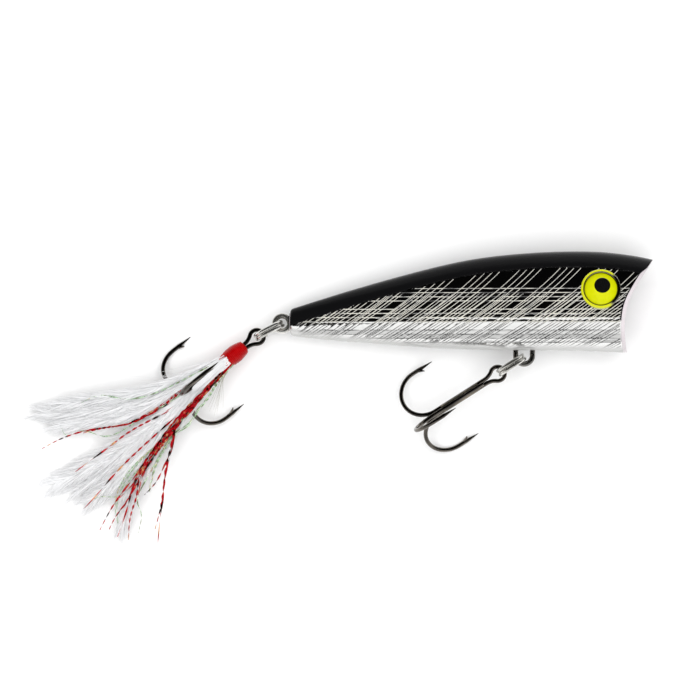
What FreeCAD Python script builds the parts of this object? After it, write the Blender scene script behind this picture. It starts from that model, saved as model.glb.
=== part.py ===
import FreeCAD, Part
import math
import os

from FreeCAD import Placement, Rotation, Vector

# A topwater popper lying on its left flank. Every piece is drawn in the lure's own frame: X from the tail
# face to the nose, Y from belly to back, Z to the lure's right, with Z = 0 on the moulding's parting plane.
# The "lie" values then lay the whole lure down. Lengths are millimetres and angles degrees.
DIMENSIONS = {
    # how the lure lies: its tail drops until the flank rests
    "lie_pitch": 4.3,
    "lie_roll": 0.0,
    "lie_shift_x": -8.5,
    "lie_shift_y": 13.7,
    "lie_height": 3.75,
    # moulded body
    "wall": 1.2,
    "tail_edge_round": 0.8,
    "rib_thickness": 1.0,
    "rear_rib_x": 16.6,
    "middle_rib_x": 36.9,
    "front_rib_x": 47.0,
    "boss_half_height": 2.2,
    "boss_half_depth": 1.9,
    "tail_boss_end": 8.4,
    "tie_boss_start": 48.0,
    "pin_radius": 0.7,
    "pin_length": 1.2,
    "pin_clearance": 0.05,
    "pin_boss_radius": 1.4,
    # mouth cup
    "cup_x": 61.3,
    "cup_y": 2.9,
    "cup_depth": 6.2,
    "cup_half_height": 7.6,
    "cup_half_width": 6.35,
    "cup_tilt": 14.2,
    # eyes
    "eye_x": 54.95,
    "eye_y": 5.75,
    "eye_out": 6.83,
    "eye_tilt": 12.7,
    "eye_radius": 2.8,
    "eye_depth": 0.9,
    "eye_dome": 0.8,
    "eye_edge": 0.05,
    "eye_ring_radius": 3.15,
    "eye_ring_wire": 0.3,
    # wire forms moulded into the body
    "wire_radius": 0.475,
    "stem_radius": 0.4,
    "wire_eye_radius": 1.35,
    "anchor_radius": 1.0,
    "tail_eye_x": -1.44,
    "tail_eye_y": -0.2,
    "tail_anchor_x": 6.2,
    "tie_x": 57.5,
    "tie_y": 2.6,
    "tie_anchor_x": 50.6,
    "tie_land_radius": 0.98,
    "hanger_x": 41.4,
    "hanger_y": -5.9,
    "hanger_radius": 1.48,
    "hanger_leg_top": -1.4,
    "hanger_foot": 1.1,
    "hanger_bend": 0.8,
    # ballast and rattle
    "ballast_x": 9.3,
    "ballast_y": 0.9,
    "ballast_radius": 1.9,
    "ballast_length": 6.0,
    "ballast_wall": 0.7,
    "ball_radius": 2.0,
    "ball_gap": 0.05,
    "channel_x": 17.6,
    "channel_y": 0.1,
    "channel_radius": 2.1,
    "channel_length": 18.2,
    "channel_wall": 0.8,
    # split rings: two coils of round wire joined by a short crossover
    "ring_radius": 2.615,
    "ring_wire": 0.335,
    "ring_coil_offset": 0.35,
    "ring_crossover": 40.0,
    "ring_end_gap": 2.0,
    "belly_ring_x": 41.36,
    "belly_ring_y": -6.12,
    "belly_ring_angle": 33.0,
    "tail_ring_angle": 28.5,
    # treble hooks, measured along the shank from the outside of the eye
    "hook_wire": 0.37,
    "hook_eye_radius": 1.26,
    "hook_neck_radius": 3.0,
    "hook_shank_spread": 0.435,
    "hook_bend_radius": 4.2,
    "hook_bend_start": 14.55,
    "hook_point_start": 10.5,
    "hook_taper": 2.6,
    "hook_tip_radius": 0.04,
    "barb_start": 13.5,
    "barb_end": 12.45,
    "barb_height": 0.42,
    "barb_thickness": 0.36,
    "single_shank_start": 4.7,
    "braze_radius": 0.66,
    "braze_start": 5.6,
    "braze_end": 13.2,
    "belly_hook_x": 36.76,
    "belly_hook_y": -9.1,
    "belly_hook_angle": 32.5,
    "belly_hook_roll": -7.6,
    "belly_hook_swing": 1.45,
    "tail_hook_x": -5.93,
    "tail_hook_y": -2.6,
    "tail_hook_angle": 38.6,
    "tail_hook_roll": 2.3,
    "tail_hook_swing": -9.75,
    # red thread wrap on the tail hook
    "wrap_start": 4.3,
    "wrap_end": 8.4,
    "wrap_front_radius": 1.1,
    "wrap_middle": 6.7,
    "wrap_middle_radius": 1.6,
    "wrap_rear_radius": 1.4,
    # dressing tied in behind the wrap
    "dressing_start": 8.45,
    "dressing_root_radius": 1.14,
    "dressing_root_size": 0.19,
    "dressing_droop": 2.1,
}

# Body stations: X, height of the back, height of the belly, half width.
STATIONS = [
    (0.0, 2.25, -2.3, 2.2),
    (6.0, 4.15, -3.0, 3.3),
    (14.0, 6.55, -3.65, 4.5),
    (23.0, 9.0, -4.35, 5.45),
    (32.0, 11.0, -4.78, 6.15),
    (41.0, 12.05, -4.9, 6.7),
    (50.0, 12.42, -4.97, 7.0),
    (58.0, 12.0, -5.3, 7.1),
    (67.0, 10.1, -5.75, 7.0),
]
STATION_FIELDS = ("x", "back", "belly", "half_width")

# Side view of the mouth's rim, from above the lip to below the chin.
RIM_OUTLINE = [
    (65.4, 13.0),
    (63.4, 9.9),
    (60.95, 6.0),
    (59.75, 3.5),
    (59.2, 1.0),
    (59.1, -1.7),
    (59.5, -5.4),
    (60.3, -8.5),
]
RIM_CLEAR_X = 75.0
RIM_CLEAR_Z = 12.0

# Pins that line up the two halves: X and Y of each.
PIN_PLACES = [(24.5, 6.6), (45.2, 8.6), (50.6, -1.9)]

# The three hooks of a treble point this many degrees around the shank.
HOOK_DIRECTIONS = {"first": 210.0, "second": -30.0, "third": 90.0}

# Dressing: angle of the root around the shank, then the tip along the shank, sideways and in height,
# all in the tail hook's frame, then half width and half thickness at the widest place.
DRESSING = {
    "hackle_top": (188.0, 41.6, -15.1, -7.25, 1.3, 0.45),
    "hackle_upper": (163.0, 39.6, -10.0, -7.2, 0.75, 0.4),
    "red_tinsel_upper": (143.0, 43.0, -7.6, -7.85, 0.5, 0.3),
    "hackle_middle": (121.0, 47.2, -2.9, -8.5, 1.5, 0.45),
    "hackle_lower": (61.0, 44.4, 3.3, -8.5, 1.5, 0.45),
    "pearl_tinsel": (39.0, 38.1, 7.0, -8.1, 0.8, 0.3),
    "hackle_bottom": (17.0, 42.6, 12.9, -8.9, 1.4, 0.45),
    "red_tinsel_lower": (-5.0, 38.6, 16.9, -8.7, 1.1, 0.4),
    "collar_fibres": (-60.0, 14.0, 4.2, -2.6, 0.5, 0.3),
}
DRESSING_FIELDS = ("root", "tip", "side", "height", "half_width", "half_thickness")
# Share of the length, then share of the width and thickness, of each cross-section of a plume.
PLUME_SECTIONS = [(0.0, None), (0.22, 0.55), (0.5, 1.0), (0.78, 0.8), (1.0, 0.15)]

doc = FreeCAD.newDocument("topwater_popper")
sheet = doc.addObject("Spreadsheet::Sheet", "dims")
nodes = {}


def fill_sheet():
    """Write every driving dimension to the sheet: its name in column A, its value in column B."""
    cells = dict(DIMENSIONS)
    for index, station in enumerate(STATIONS):
        for field, value in zip(STATION_FIELDS, station):
            cells[f"station_{index}_{field}"] = value
    for name, plume in DRESSING.items():
        for field, value in zip(DRESSING_FIELDS, plume):
            cells[f"{name}_{field}"] = value
    for row, (alias, value) in enumerate(cells.items(), start=1):
        sheet.set(f"A{row}", alias)
        sheet.set(f"B{row}", str(value))
        sheet.setAlias(f"B{row}", alias)
    doc.recompute()


def size(alias):
    """A dimension as the sheet holds it."""
    return float(getattr(sheet, alias))


def make(kind, name, expressions=None, **values):
    """Add one object, bind its properties to the sheet and set the rest."""
    made = doc.addObject(kind, name)
    for key, value in values.items():
        setattr(made, key, value)
    for key, expression in (expressions or {}).items():
        made.setExpression(key, expression)
    return made


def fixed_shape(name, shape):
    """An object whose shape is worked out here from the sheet's values."""
    made = doc.addObject("Part::Feature", name)
    made.Shape = shape
    return made


def node(made, label, placement):
    """Name a finished piece and put it where it belongs."""
    made.Label = label
    made.Placement = placement
    nodes[label] = made
    return made


def lie():
    """The placement that lays the lure down on its left flank."""
    turn = Rotation(Vector(0, 1, 0), -size("lie_pitch")).multiply(Rotation(Vector(1, 0, 0), size("lie_roll")))
    return Placement(Vector(size("lie_shift_x"), size("lie_shift_y"), size("lie_height")), turn)


def cut(name, base, tool):
    return make("Part::Cut", name, Base=base, Tool=tool)


def fuse(name, shapes):
    return make("Part::MultiFuse", name, Shapes=shapes)


# ---------------------------------------------------------------- moulded body

ACROSS_X = Rotation(Vector(1, 1, 1), 120)


def body_section(index, inset):
    """The ellipse of one station, drawn in by the inset."""
    station = f"dims.station_{index}"
    return make(
        "Part::Ellipse",
        f"section_{index}",
        {
            "MajorRadius": f"({station}_back - {station}_belly) / 2 - {inset}",
            "MinorRadius": f"{station}_half_width - {inset}",
            ".Placement.Base.x": f"{station}_x",
            ".Placement.Base.y": f"({station}_back + {station}_belly) / 2",
        },
        Placement=Placement(Vector(), ACROSS_X),
    )


def body_loft(name, indices, inset):
    sections = [body_section(index, inset) for index in indices]
    return make("Part::Loft", name, Sections=sections, Solid=True, Ruled=False)


def box(name, x, y, z, length, width, height):
    """A box from expressions: its low corner, then its size."""
    return make(
        "Part::Box",
        name,
        {
            ".Placement.Base.x": x,
            ".Placement.Base.y": y,
            ".Placement.Base.z": z,
            "Length": length,
            "Width": width,
            "Height": height,
        },
    )


def cylinder_along_x(name, x, y, radius, length):
    return make(
        "Part::Cylinder",
        name,
        {".Placement.Base.x": x, ".Placement.Base.y": y, "Radius": radius, "Height": length},
        Placement=Placement(Vector(), Rotation(Vector(0, 1, 0), 90)),
    )


def pin_cylinder(name, x, y, radius, start, height):
    """A cylinder across the parting plane where two halves line up."""
    return make(
        "Part::Cylinder",
        name,
        {"Radius": radius, "Height": height, ".Placement.Base.z": start},
        Placement=Placement(Vector(x, y, 0), Rotation()),
    )


def cup_form(name, extra):
    """The ellipsoid that hollows the mouth, grown by an extra thickness."""
    return make(
        "Part::Ellipsoid",
        name,
        {
            "Radius1": f"dims.cup_half_width + {extra}",
            "Radius2": f"dims.cup_depth + {extra}",
            "Radius3": f"dims.cup_half_height + {extra}",
            ".Placement.Base.x": "dims.cup_x",
            ".Placement.Base.y": "dims.cup_y",
            ".Placement.Rotation.Angle": "-dims.cup_tilt",
        },
        Placement=Placement(Vector(), Rotation(Vector(0, 0, 1), -1)),
    )


def rim_cutter():
    """Everything ahead of the rim's curved side view."""
    curve = Part.BSplineCurve()
    curve.interpolate([Vector(x, y, -RIM_CLEAR_Z) for x, y in RIM_OUTLINE])
    top, bottom = RIM_OUTLINE[0], RIM_OUTLINE[-1]
    corners = [bottom, (RIM_CLEAR_X, bottom[1]), (RIM_CLEAR_X, top[1]), top]
    closing = Part.makePolygon([Vector(x, y, -RIM_CLEAR_Z) for x, y in corners])
    face = Part.Face(Part.Wire([curve.toShape()] + closing.Edges))
    return fixed_shape("rim_cutter", face.extrude(Vector(0, 0, 2 * RIM_CLEAR_Z)))


def eye_placement(side):
    """On the flank, with Z out of the lure; side is 1 for the right and -1 for the left."""
    place = Vector(size("eye_x"), size("eye_y"), side * size("eye_out"))
    turn = Rotation(Vector(1, 0, 0), -side * size("eye_tilt"))
    if side < 0:
        turn = turn.multiply(Rotation(Vector(1, 0, 0), 180))
    return Placement(place, turn)


def eye_ring(side):
    """The raised ring that the body's skin forms around an eye."""
    depth = "dims.eye_depth + dims.wall"
    outer = make(
        "Part::Cylinder",
        "eye_ring_wall",
        {
            "Radius": "dims.eye_ring_radius + dims.eye_ring_wire",
            "Height": depth,
            ".Placement.Base.z": f"-({depth})",
        },
    )
    bead_sizes = {"Radius1": "dims.eye_ring_radius", "Radius2": "dims.eye_ring_wire"}
    bead = make("Part::Torus", "eye_ring_bead", bead_sizes)
    ring = fuse("eye_ring", [outer, bead])
    ring.Placement = eye_placement(side)
    return ring


def eye_socket(side):
    """The round recess that an eye drops into."""
    recess = make("Part::Cylinder", "eye_recess", {"Radius": "dims.eye_ring_radius - dims.eye_ring_wire"})
    recess.setExpression("Height", "dims.eye_depth + dims.eye_dome")
    recess.setExpression(".Placement.Base.z", "-dims.eye_depth")
    socket = make("Part::Compound", "eye_socket", Links=[recess])
    socket.Placement = eye_placement(side)
    return socket


def body_halves(wires):
    """Two hollow shells with ribs, bosses, a ballast pocket and a rattle channel, parted at Z = 0."""
    last = len(STATIONS) - 1
    outer = body_loft("outer_form", range(last + 1), "0")
    cavity = body_loft("cavity_form", range(1, last), "dims.wall")
    ribs = [
        box(f"{name}_rib", f"dims.{name}_rib_x", "-10", "-10", "dims.rib_thickness", "30", "20")
        for name in ("rear", "middle", "front")
    ]
    tail_boss = box(
        "tail_boss",
        "dims.station_1_x - 1",
        "dims.tail_eye_y - dims.boss_half_height",
        "-dims.boss_half_depth",
        "dims.tail_boss_end - dims.station_1_x + 1",
        "2 * dims.boss_half_height",
        "2 * dims.boss_half_depth",
    )
    tie_boss = box(
        "tie_boss",
        "dims.tie_boss_start - dims.rib_thickness / 2",
        "dims.tie_y - dims.boss_half_height",
        "-dims.boss_half_depth",
        "dims.tie_x - dims.tie_boss_start",
        "2 * dims.boss_half_height",
        "2 * dims.boss_half_depth",
    )
    hanger_boss = box(
        "hanger_boss",
        "dims.hanger_x - dims.hanger_radius - dims.hanger_foot - dims.hanger_bend - dims.wall",
        "-6",
        "-dims.boss_half_depth",
        "2 * (dims.hanger_radius + dims.hanger_foot + dims.hanger_bend + dims.wall)",
        "dims.hanger_leg_top + dims.wire_radius + dims.wall + 6",
        "2 * dims.boss_half_depth",
    )
    ballast_tube = cylinder_along_x(
        "ballast_tube",
        "dims.ballast_x - dims.ballast_wall - dims.rib_thickness",
        "dims.ballast_y",
        "dims.ballast_radius + dims.ballast_wall",
        "dims.ballast_length + 2 * dims.ballast_wall + dims.rib_thickness",
    )
    channel_tube = cylinder_along_x(
        "channel_tube",
        "dims.channel_x - dims.channel_wall",
        "dims.channel_y",
        "dims.channel_radius + dims.channel_wall",
        "dims.channel_length + 2 * dims.channel_wall",
    )
    pin_bosses = [pin_cylinder("pin_boss", x, y, "dims.pin_boss_radius", "-10", "20") for x, y in PIN_PLACES]
    eye_rings = {side: eye_ring(side) for side in (1, -1)}
    cup_wall = cup_form("cup_wall", "dims.wall")
    bosses = [tail_boss, tie_boss, hanger_boss] + pin_bosses
    structure = fuse(
        "structure", ribs + bosses + [ballast_tube, channel_tube, cup_wall] + list(eye_rings.values())
    )
    hollow = cut("hollow", cavity, structure)
    ballast_pocket = cylinder_along_x(
        "ballast_pocket", "dims.ballast_x", "dims.ballast_y", "dims.ballast_radius", "dims.ballast_length"
    )
    channel = cylinder_along_x(
        "channel", "dims.channel_x", "dims.channel_y", "dims.channel_radius", "dims.channel_length"
    )
    doc.recompute()
    tail_edges = [
        (number, size("tail_edge_round"), size("tail_edge_round"))
        for number, edge in enumerate(outer.Shape.Edges, start=1)
        if edge.BoundBox.XMax < 0.01
    ]
    rounded = make("Part::Fillet", "rounded_tail", Base=outer, Edges=tail_edges)
    skin = fuse("skin", [rounded] + list(eye_rings.values()))
    removed = fuse("removed", [hollow, ballast_pocket, channel, rim_cutter(), cup_form("mouth_cup", "0")])
    shell = cut("shell", skin, removed)
    socketed = cut("socketed", cut("right_socketed", shell, eye_socket(1)), eye_socket(-1))
    seated = cut("seated", socketed, fuse("wire_seats", wires))
    pins = [
        pin_cylinder("pin", x, y, "dims.pin_radius", "-dims.pin_length", "2 * dims.pin_length")
        for x, y in PIN_PLACES
    ]
    hole_radius = "dims.pin_radius + dims.pin_clearance"
    hole_depth = "dims.pin_length + dims.pin_clearance"
    pin_holes = [pin_cylinder("pin_hole", x, y, hole_radius, "0", hole_depth) for x, y in PIN_PLACES]
    right_side = box("right_side", "-20", "-30", "0", "120", "60", "30")
    left_side = box("left_side", "-20", "-30", "-30", "120", "60", "30")
    right = make("Part::Common", "right_common", Base=seated, Tool=right_side)
    left = make("Part::Common", "left_common", Base=seated, Tool=left_side)
    node(cut("right_half", right, fuse("pin_holes", pin_holes)), "right_body_half", lie())
    node(fuse("left_half", [left] + pins), "left_body_half", lie())


def eye(side, label):
    """A domed disc, revolved."""
    body = make("PartDesign::Body", f"{label}_body")
    sketch = body.newObject("Sketcher::SketchObject", f"{label}_sketch")
    plane = next(f for f in body.Origin.OriginFeatures if f.Role == "XZ_Plane")
    sketch.AttachmentSupport = [(plane, "")]
    sketch.MapMode = "FlatFace"
    radius, depth = size("eye_radius"), size("eye_depth")
    edge, dome = size("eye_edge"), size("eye_dome")
    low_axis, low_rim = Vector(0, -depth, 0), Vector(radius, -depth, 0)
    high_rim, top = Vector(radius, -edge, 0), Vector(0, dome, 0)
    rise = dome + edge
    sphere = (radius ** 2 + rise ** 2) / (2 * rise)
    middle_angle = math.asin(radius / sphere) / 2
    middle = Vector(sphere * math.sin(middle_angle), dome - sphere + sphere * math.cos(middle_angle), 0)
    sketch.addGeometry(
        [
            Part.LineSegment(low_axis, low_rim),
            Part.LineSegment(low_rim, high_rim),
            Part.Arc(high_rim, middle, top),
            Part.LineSegment(top, low_axis),
        ],
        False,
    )
    turned = body.newObject("PartDesign::Revolution", f"{label}_turned")
    turned.Profile = sketch
    turned.ReferenceAxis = (sketch, ["V_Axis"])
    turned.Angle = 360
    body.Tip = turned
    node(body, label, lie().multiply(eye_placement(side)))


# ---------------------------------------------------------------- wires in the body


def torus(name, x, y, radius):
    """A ring of wire whose seam is turned away from the stem."""
    return make(
        "Part::Torus",
        name,
        {"Radius1": radius, "Radius2": "dims.wire_radius", ".Placement.Base.x": x, ".Placement.Base.y": y},
        Placement=Placement(Vector(), Rotation(Vector(0, 0, 1), 90)),
    )


def wire_eye(name, eye_x, anchor_x, y, towards):
    """A wire eye, its straight stem and the anchor ring that the moulding grips."""
    eye_ring_part = torus(f"{name}_eye", eye_x, y, "dims.wire_eye_radius")
    anchor = torus(f"{name}_anchor", anchor_x, y, "dims.anchor_radius")
    stem_start = f"{eye_x} + dims.wire_eye_radius" if towards > 0 else f"{anchor_x} + dims.anchor_radius"
    stem_length = f"abs({anchor_x} - {eye_x}) - dims.wire_eye_radius - dims.anchor_radius"
    stem = cylinder_along_x(f"{name}_stem", stem_start, y, "dims.stem_radius", stem_length)
    return fuse(name, [eye_ring_part, anchor, stem])


def tangent_path(points):
    """A wire through (start, middle, end) arcs and (start, end) lines."""
    edges = []
    for piece in points:
        if len(piece) == 2:
            edges.append(Part.LineSegment(*piece).toShape())
        else:
            edges.append(Part.Arc(*piece).toShape())
    return Part.Wire(edges)


def drawn_wire(path, radius, start, direction):
    """Round wire swept along a path."""
    profile = Part.Wire([Part.makeCircle(radius, start, direction)])
    return path.makePipeShell([profile], True, False)


def belly_hanger():
    """A U of wire whose two feet turn outwards inside the body."""
    centre = Vector(size("hanger_x"), size("hanger_y"), 0)
    radius, bend, foot = size("hanger_radius"), size("hanger_bend"), size("hanger_foot")
    top = size("hanger_leg_top")
    corner = bend * (1 - math.sqrt(0.5))
    half = []
    for side in (-1, 1):
        leg_x = centre.x + side * radius
        low = Vector(leg_x, centre.y, 0)
        high = Vector(leg_x, top - bend, 0)
        turn = Vector(leg_x + side * corner, top - corner, 0)
        foot_start = Vector(leg_x + side * bend, top, 0)
        foot_end = Vector(leg_x + side * (bend + foot), top, 0)
        half.append((low, high, turn, foot_start, foot_end))
    left, right = half
    path = tangent_path(
        [
            (left[4], left[3]),
            (left[3], left[2], left[1]),
            (left[1], left[0]),
            (left[0], centre - Vector(0, radius, 0), right[0]),
            (right[0], right[1]),
            (right[1], right[2], right[3]),
            (right[3], right[4]),
        ]
    )
    return fixed_shape("belly_hanger", drawn_wire(path, size("wire_radius"), left[4], Vector(1, 0, 0)))


def body_wires():
    """The three wire forms, and the line tie with its eye coined to a short true bore."""
    tail = wire_eye("tail_eye", "dims.tail_eye_x", "dims.tail_anchor_x", "dims.tail_eye_y", 1)
    tie_blank = wire_eye("line_tie_blank", "dims.tie_x", "dims.tie_anchor_x", "dims.tie_y", -1)
    land = make(
        "Part::Cylinder",
        "line_tie_land",
        {
            "Radius": "dims.tie_land_radius",
            "Height": "4 * dims.wire_radius",
            ".Placement.Base.x": "dims.tie_x",
            ".Placement.Base.y": "dims.tie_y",
            ".Placement.Base.z": "-2 * dims.wire_radius",
        },
    )
    tie = cut("line_tie", tie_blank, land)
    hanger = belly_hanger()
    return {"tail_eye": tail, "line_tie": tie, "belly_hanger": hanger}


def ballast_and_balls():
    slug = cylinder_along_x(
        "tail_ballast", "dims.ballast_x", "dims.ballast_y", "dims.ballast_radius", "dims.ballast_length"
    )
    held = make("Part::Compound", "ballast_slug", Links=[slug])
    node(held, "tail_ballast", lie())
    for number in (1, 2, 3):
        ball_x = f"dims.channel_x + dims.ball_gap * {number} + dims.ball_radius * {2 * number - 1}"
        ball = make(
            "Part::Sphere",
            f"ball_{number}",
            {
                "Radius": "dims.ball_radius",
                ".Placement.Base.x": ball_x,
                ".Placement.Base.y": "dims.channel_y",
            },
        )
        held = make("Part::Compound", f"ball_{number}_placed", Links=[ball])
        node(held, f"rattle_ball_{number}", lie())


# ---------------------------------------------------------------- split rings


def split_ring_shape():
    """Two flat coils side by side, joined by a crossover, in the ring's own plane."""
    radius, offset = size("ring_radius"), size("ring_coil_offset")
    half_crossover = size("ring_crossover") / 2
    gap = size("ring_end_gap")

    def at(angle, height):
        return Vector(radius * math.cos(math.radians(angle)), radius * math.sin(math.radians(angle)), height)

    def along(angle):
        return Vector(-math.sin(math.radians(angle)), math.cos(math.radians(angle)), 0)

    # The crossover sits at 270 degrees, on the side that faces down when the lure lies on its flank.
    enter, leave = 270 - half_crossover, 270 + half_crossover
    start, end = leave + gap - 360, enter - gap + 360
    lower = Part.Arc(at(start, -offset), at((start + enter) / 2, -offset), at(enter, -offset)).toShape()
    upper = Part.Arc(at(leave, offset), at((leave + end) / 2, offset), at(end, offset)).toShape()
    crossover = Part.BSplineCurve()
    crossover.interpolate(
        Points=[at(enter, -offset), at(270, 0), at(leave, offset)],
        InitialTangent=along(enter),
        FinalTangent=along(leave),
    )
    path = Part.Wire([lower, crossover.toShape(), upper])
    return drawn_wire(path, size("ring_wire"), at(start, -offset), along(start))


def ring_placement(near, angle):
    """A ring whose near wire is at a point and whose far wire lies that angle below the tailward line."""
    towards = Vector(math.cos(math.radians(angle)), math.sin(math.radians(angle)), 0)
    centre = near - towards * size("ring_radius")
    return Placement(centre, Rotation(towards, Vector(0, 0, 1), Vector(), "XYZ"))


# ---------------------------------------------------------------- treble hooks


def around(direction):
    """Unit vector across the shank at an angle around it."""
    return Vector(0, math.cos(math.radians(direction)), math.sin(math.radians(direction)))


def hook_at(axial, radial, direction):
    """A point of one hook: axial from the eye's outside, radial from the middle of the shanks."""
    origin = Vector(-size("hook_eye_radius") - size("hook_wire"), 0, shank_height())
    return origin + Vector(axial, 0, 0) + around(direction) * radial


def shank_height():
    """The middle of the three shanks lies this far above the plane of the eye."""
    return size("hook_shank_spread") / 2


def bend_path(direction, shank_from):
    """Shank, round bend and the straight part of the point, from the eye outwards."""
    spread, bend, start = size("hook_shank_spread"), size("hook_bend_radius"), size("hook_bend_start")
    taper_from = size("hook_point_start") + size("hook_taper")
    return [
        (hook_at(shank_from, spread, direction), hook_at(start, spread, direction)),
        (
            hook_at(start, spread, direction),
            hook_at(start + bend, spread + bend, direction),
            hook_at(start, spread + 2 * bend, direction),
        ),
        (hook_at(start, spread + 2 * bend, direction), hook_at(taper_from, spread + 2 * bend, direction)),
    ]


def point_and_barb(direction):
    """The ground point, and the barb raised on its inner side."""
    outer = size("hook_shank_spread") + 2 * size("hook_bend_radius")
    wire, taper = size("hook_wire"), size("hook_taper")
    base = hook_at(size("hook_point_start") + taper, outer, direction)
    point = Part.makeCone(wire, size("hook_tip_radius"), taper, base, Vector(-1, 0, 0))
    across = around(direction).cross(Vector(1, 0, 0))
    half = size("barb_thickness") / 2
    inner = outer - wire
    corners = [
        hook_at(size("barb_start"), inner + wire / 2, direction),
        hook_at(size("barb_start"), inner, direction),
        hook_at(size("barb_end"), inner - size("barb_height"), direction),
        hook_at(size("barb_end") + size("barb_height"), inner + wire / 2, direction),
    ]
    outline = Part.makePolygon([c - across * half for c in corners + corners[:1]])
    barb = Part.Face(outline).extrude(across * 2 * half)
    return [point, barb]


def double_hook_shape():
    """One wire: point, bend, shank, round eye, then the same back to the second point."""
    first, second = HOOK_DIRECTIONS["first"], HOOK_DIRECTIONS["second"]
    eye_radius, neck = size("hook_eye_radius"), size("hook_neck_radius")
    side = size("hook_shank_spread") * math.cos(math.radians(30))
    neck_x = math.sqrt((eye_radius + neck) ** 2 - (side + neck) ** 2)
    neck_angle = math.atan2(side + neck, neck_x)
    touch = Vector(eye_radius * math.cos(neck_angle), eye_radius * math.sin(neck_angle), 0)
    turn = (neck_angle + math.pi / 2) / 2
    neck_middle = Vector(neck_x - neck * math.cos(turn), side + neck - neck * math.sin(turn), 0)
    neck_end = Vector(neck_x, side, 0)

    def mirrored(point):
        return Vector(point.x, -point.y, point.z)

    neck_axial = neck_x + eye_radius + size("hook_wire")
    path = [piece[::-1] for piece in bend_path(first, neck_axial)[::-1]]
    path += [
        (mirrored(neck_end), mirrored(neck_middle), mirrored(touch)),
        (mirrored(touch), Vector(-eye_radius, 0, 0), touch),
        (touch, neck_middle, neck_end),
    ]
    path += bend_path(second, neck_axial)
    start = path[0][0]
    wire = drawn_wire(tangent_path(path), size("hook_wire"), start, Vector(1, 0, 0))
    return wire.fuse(point_and_barb(first) + point_and_barb(second)).removeSplitter()


def single_hook_shape():
    """The third hook, laid in the groove between the two shanks."""
    third = HOOK_DIRECTIONS["third"]
    path = bend_path(third, size("single_shank_start"))
    wire = drawn_wire(tangent_path(path), size("hook_wire"), path[0][0], Vector(1, 0, 0))
    return wire.fuse(point_and_barb(third)).removeSplitter()


def braze_shape(hooks):
    """The filler metal between the three shanks."""
    start, end = hook_at(size("braze_start"), 0, 0), size("braze_end") - size("braze_start")
    filler = Part.makeCylinder(size("braze_radius"), end, start, Vector(1, 0, 0))
    return filler.cut(hooks)


def hook_placement(name, ring):
    """The treble's eye on its ring, then the swing that lets the hook rest on the surface."""
    angle = math.radians(size(f"{name}_hook_angle"))
    along = Vector(-math.cos(angle), -math.sin(angle), 0)
    eye = Vector(size(f"{name}_hook_x"), size(f"{name}_hook_y"), 0)
    turn = Rotation(along, Vector(), Vector(0, 0, 1), "XZY")
    roll = Rotation(Vector(1, 0, 0), size(f"{name}_hook_roll"))
    hung = Placement(eye, turn.multiply(roll))
    normal = ring.Rotation.multVec(Vector(0, 0, 1))
    swing = Placement(Vector(), Rotation(normal, size(f"{name}_hook_swing")), ring.Base)
    return swing.multiply(hung)


def treble(name, placement):
    """The pieces of one treble hook."""
    shapes = [double_hook_shape(), single_hook_shape()]
    shapes.append(braze_shape(shapes[:2]))
    for part, shape in zip(("double", "single", "braze"), shapes):
        node(fixed_shape(f"{name}_hook_{part}_shape", shape), f"{name}_hook_{part}", placement)
    return shapes


# ---------------------------------------------------------------- tail dressing


def thread_wrap(shapes, placement):
    """A barrel of thread turned around the three shanks."""
    body = make("PartDesign::Body", "wrap_body")
    sketch = body.newObject("Sketcher::SketchObject", "wrap_sketch")
    plane = next(f for f in body.Origin.OriginFeatures if f.Role == "XZ_Plane")
    sketch.AttachmentSupport = [(plane, "")]
    sketch.MapMode = "FlatFace"
    front, middle, rear = (hook_at(size(f"wrap_{place}"), 0, 0) for place in ("start", "middle", "end"))
    height = shank_height()

    def corner(place, radius):
        return Vector(place.x, height + radius, 0)

    rims = [
        corner(front, size("wrap_front_radius")),
        corner(middle, size("wrap_middle_radius")),
        corner(rear, size("wrap_rear_radius")),
    ]
    start, end = corner(front, 0), corner(rear, 0)
    sketch.addGeometry(
        [
            Part.LineSegment(start, rims[0]),
            Part.Arc(*rims),
            Part.LineSegment(rims[2], end),
            Part.LineSegment(end, start),
        ],
        False,
    )
    turned = body.newObject("PartDesign::Revolution", "wrap_turned")
    turned.Profile = sketch
    turned.ReferenceAxis = (sketch, ["Edge4"])
    turned.Angle = 360
    body.Tip = turned
    shanks = fixed_shape("wrapped_shanks", shapes[0].fuse(shapes[1:]))
    node(cut("thread_wrap_cut", body, shanks), "thread_wrap", placement)


def plume_shape(name):
    """A flattened, drooping spindle from its root at the wrap to its tip."""
    root_angle, tip_axial = size(f"{name}_root"), size(f"{name}_tip")
    root = around(root_angle) * size("dressing_root_radius")
    side, height = size(f"{name}_side"), size(f"{name}_height")
    start = size("dressing_start")
    sections = []
    for share, fullness in PLUME_SECTIONS:
        centre = hook_at(start + (tip_axial - start) * share, 0, 0)
        centre.y += root.y + (side - root.y) * share
        centre.z += root.z + (height - root.z) * share ** size("dressing_droop")
        if fullness is None:
            wide = thick = size("dressing_root_size")
        else:
            wide = size(f"{name}_half_width") * fullness
            thick = size(f"{name}_half_thickness") * fullness
        rim = Part.makeCircle(1, Vector(), Vector(1, 0, 0))
        oval = FreeCAD.Matrix()
        oval.scale(1, wide, thick)
        oval.move(centre)
        sections.append(Part.Wire([rim.transformGeometry(oval)]))
    return Part.makeLoft(sections, True, False)


def dressing(placement):
    for name in DRESSING:
        node(fixed_shape(f"{name}_shape", plume_shape(name)), name, placement)


# ---------------------------------------------------------------- assembly


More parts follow.
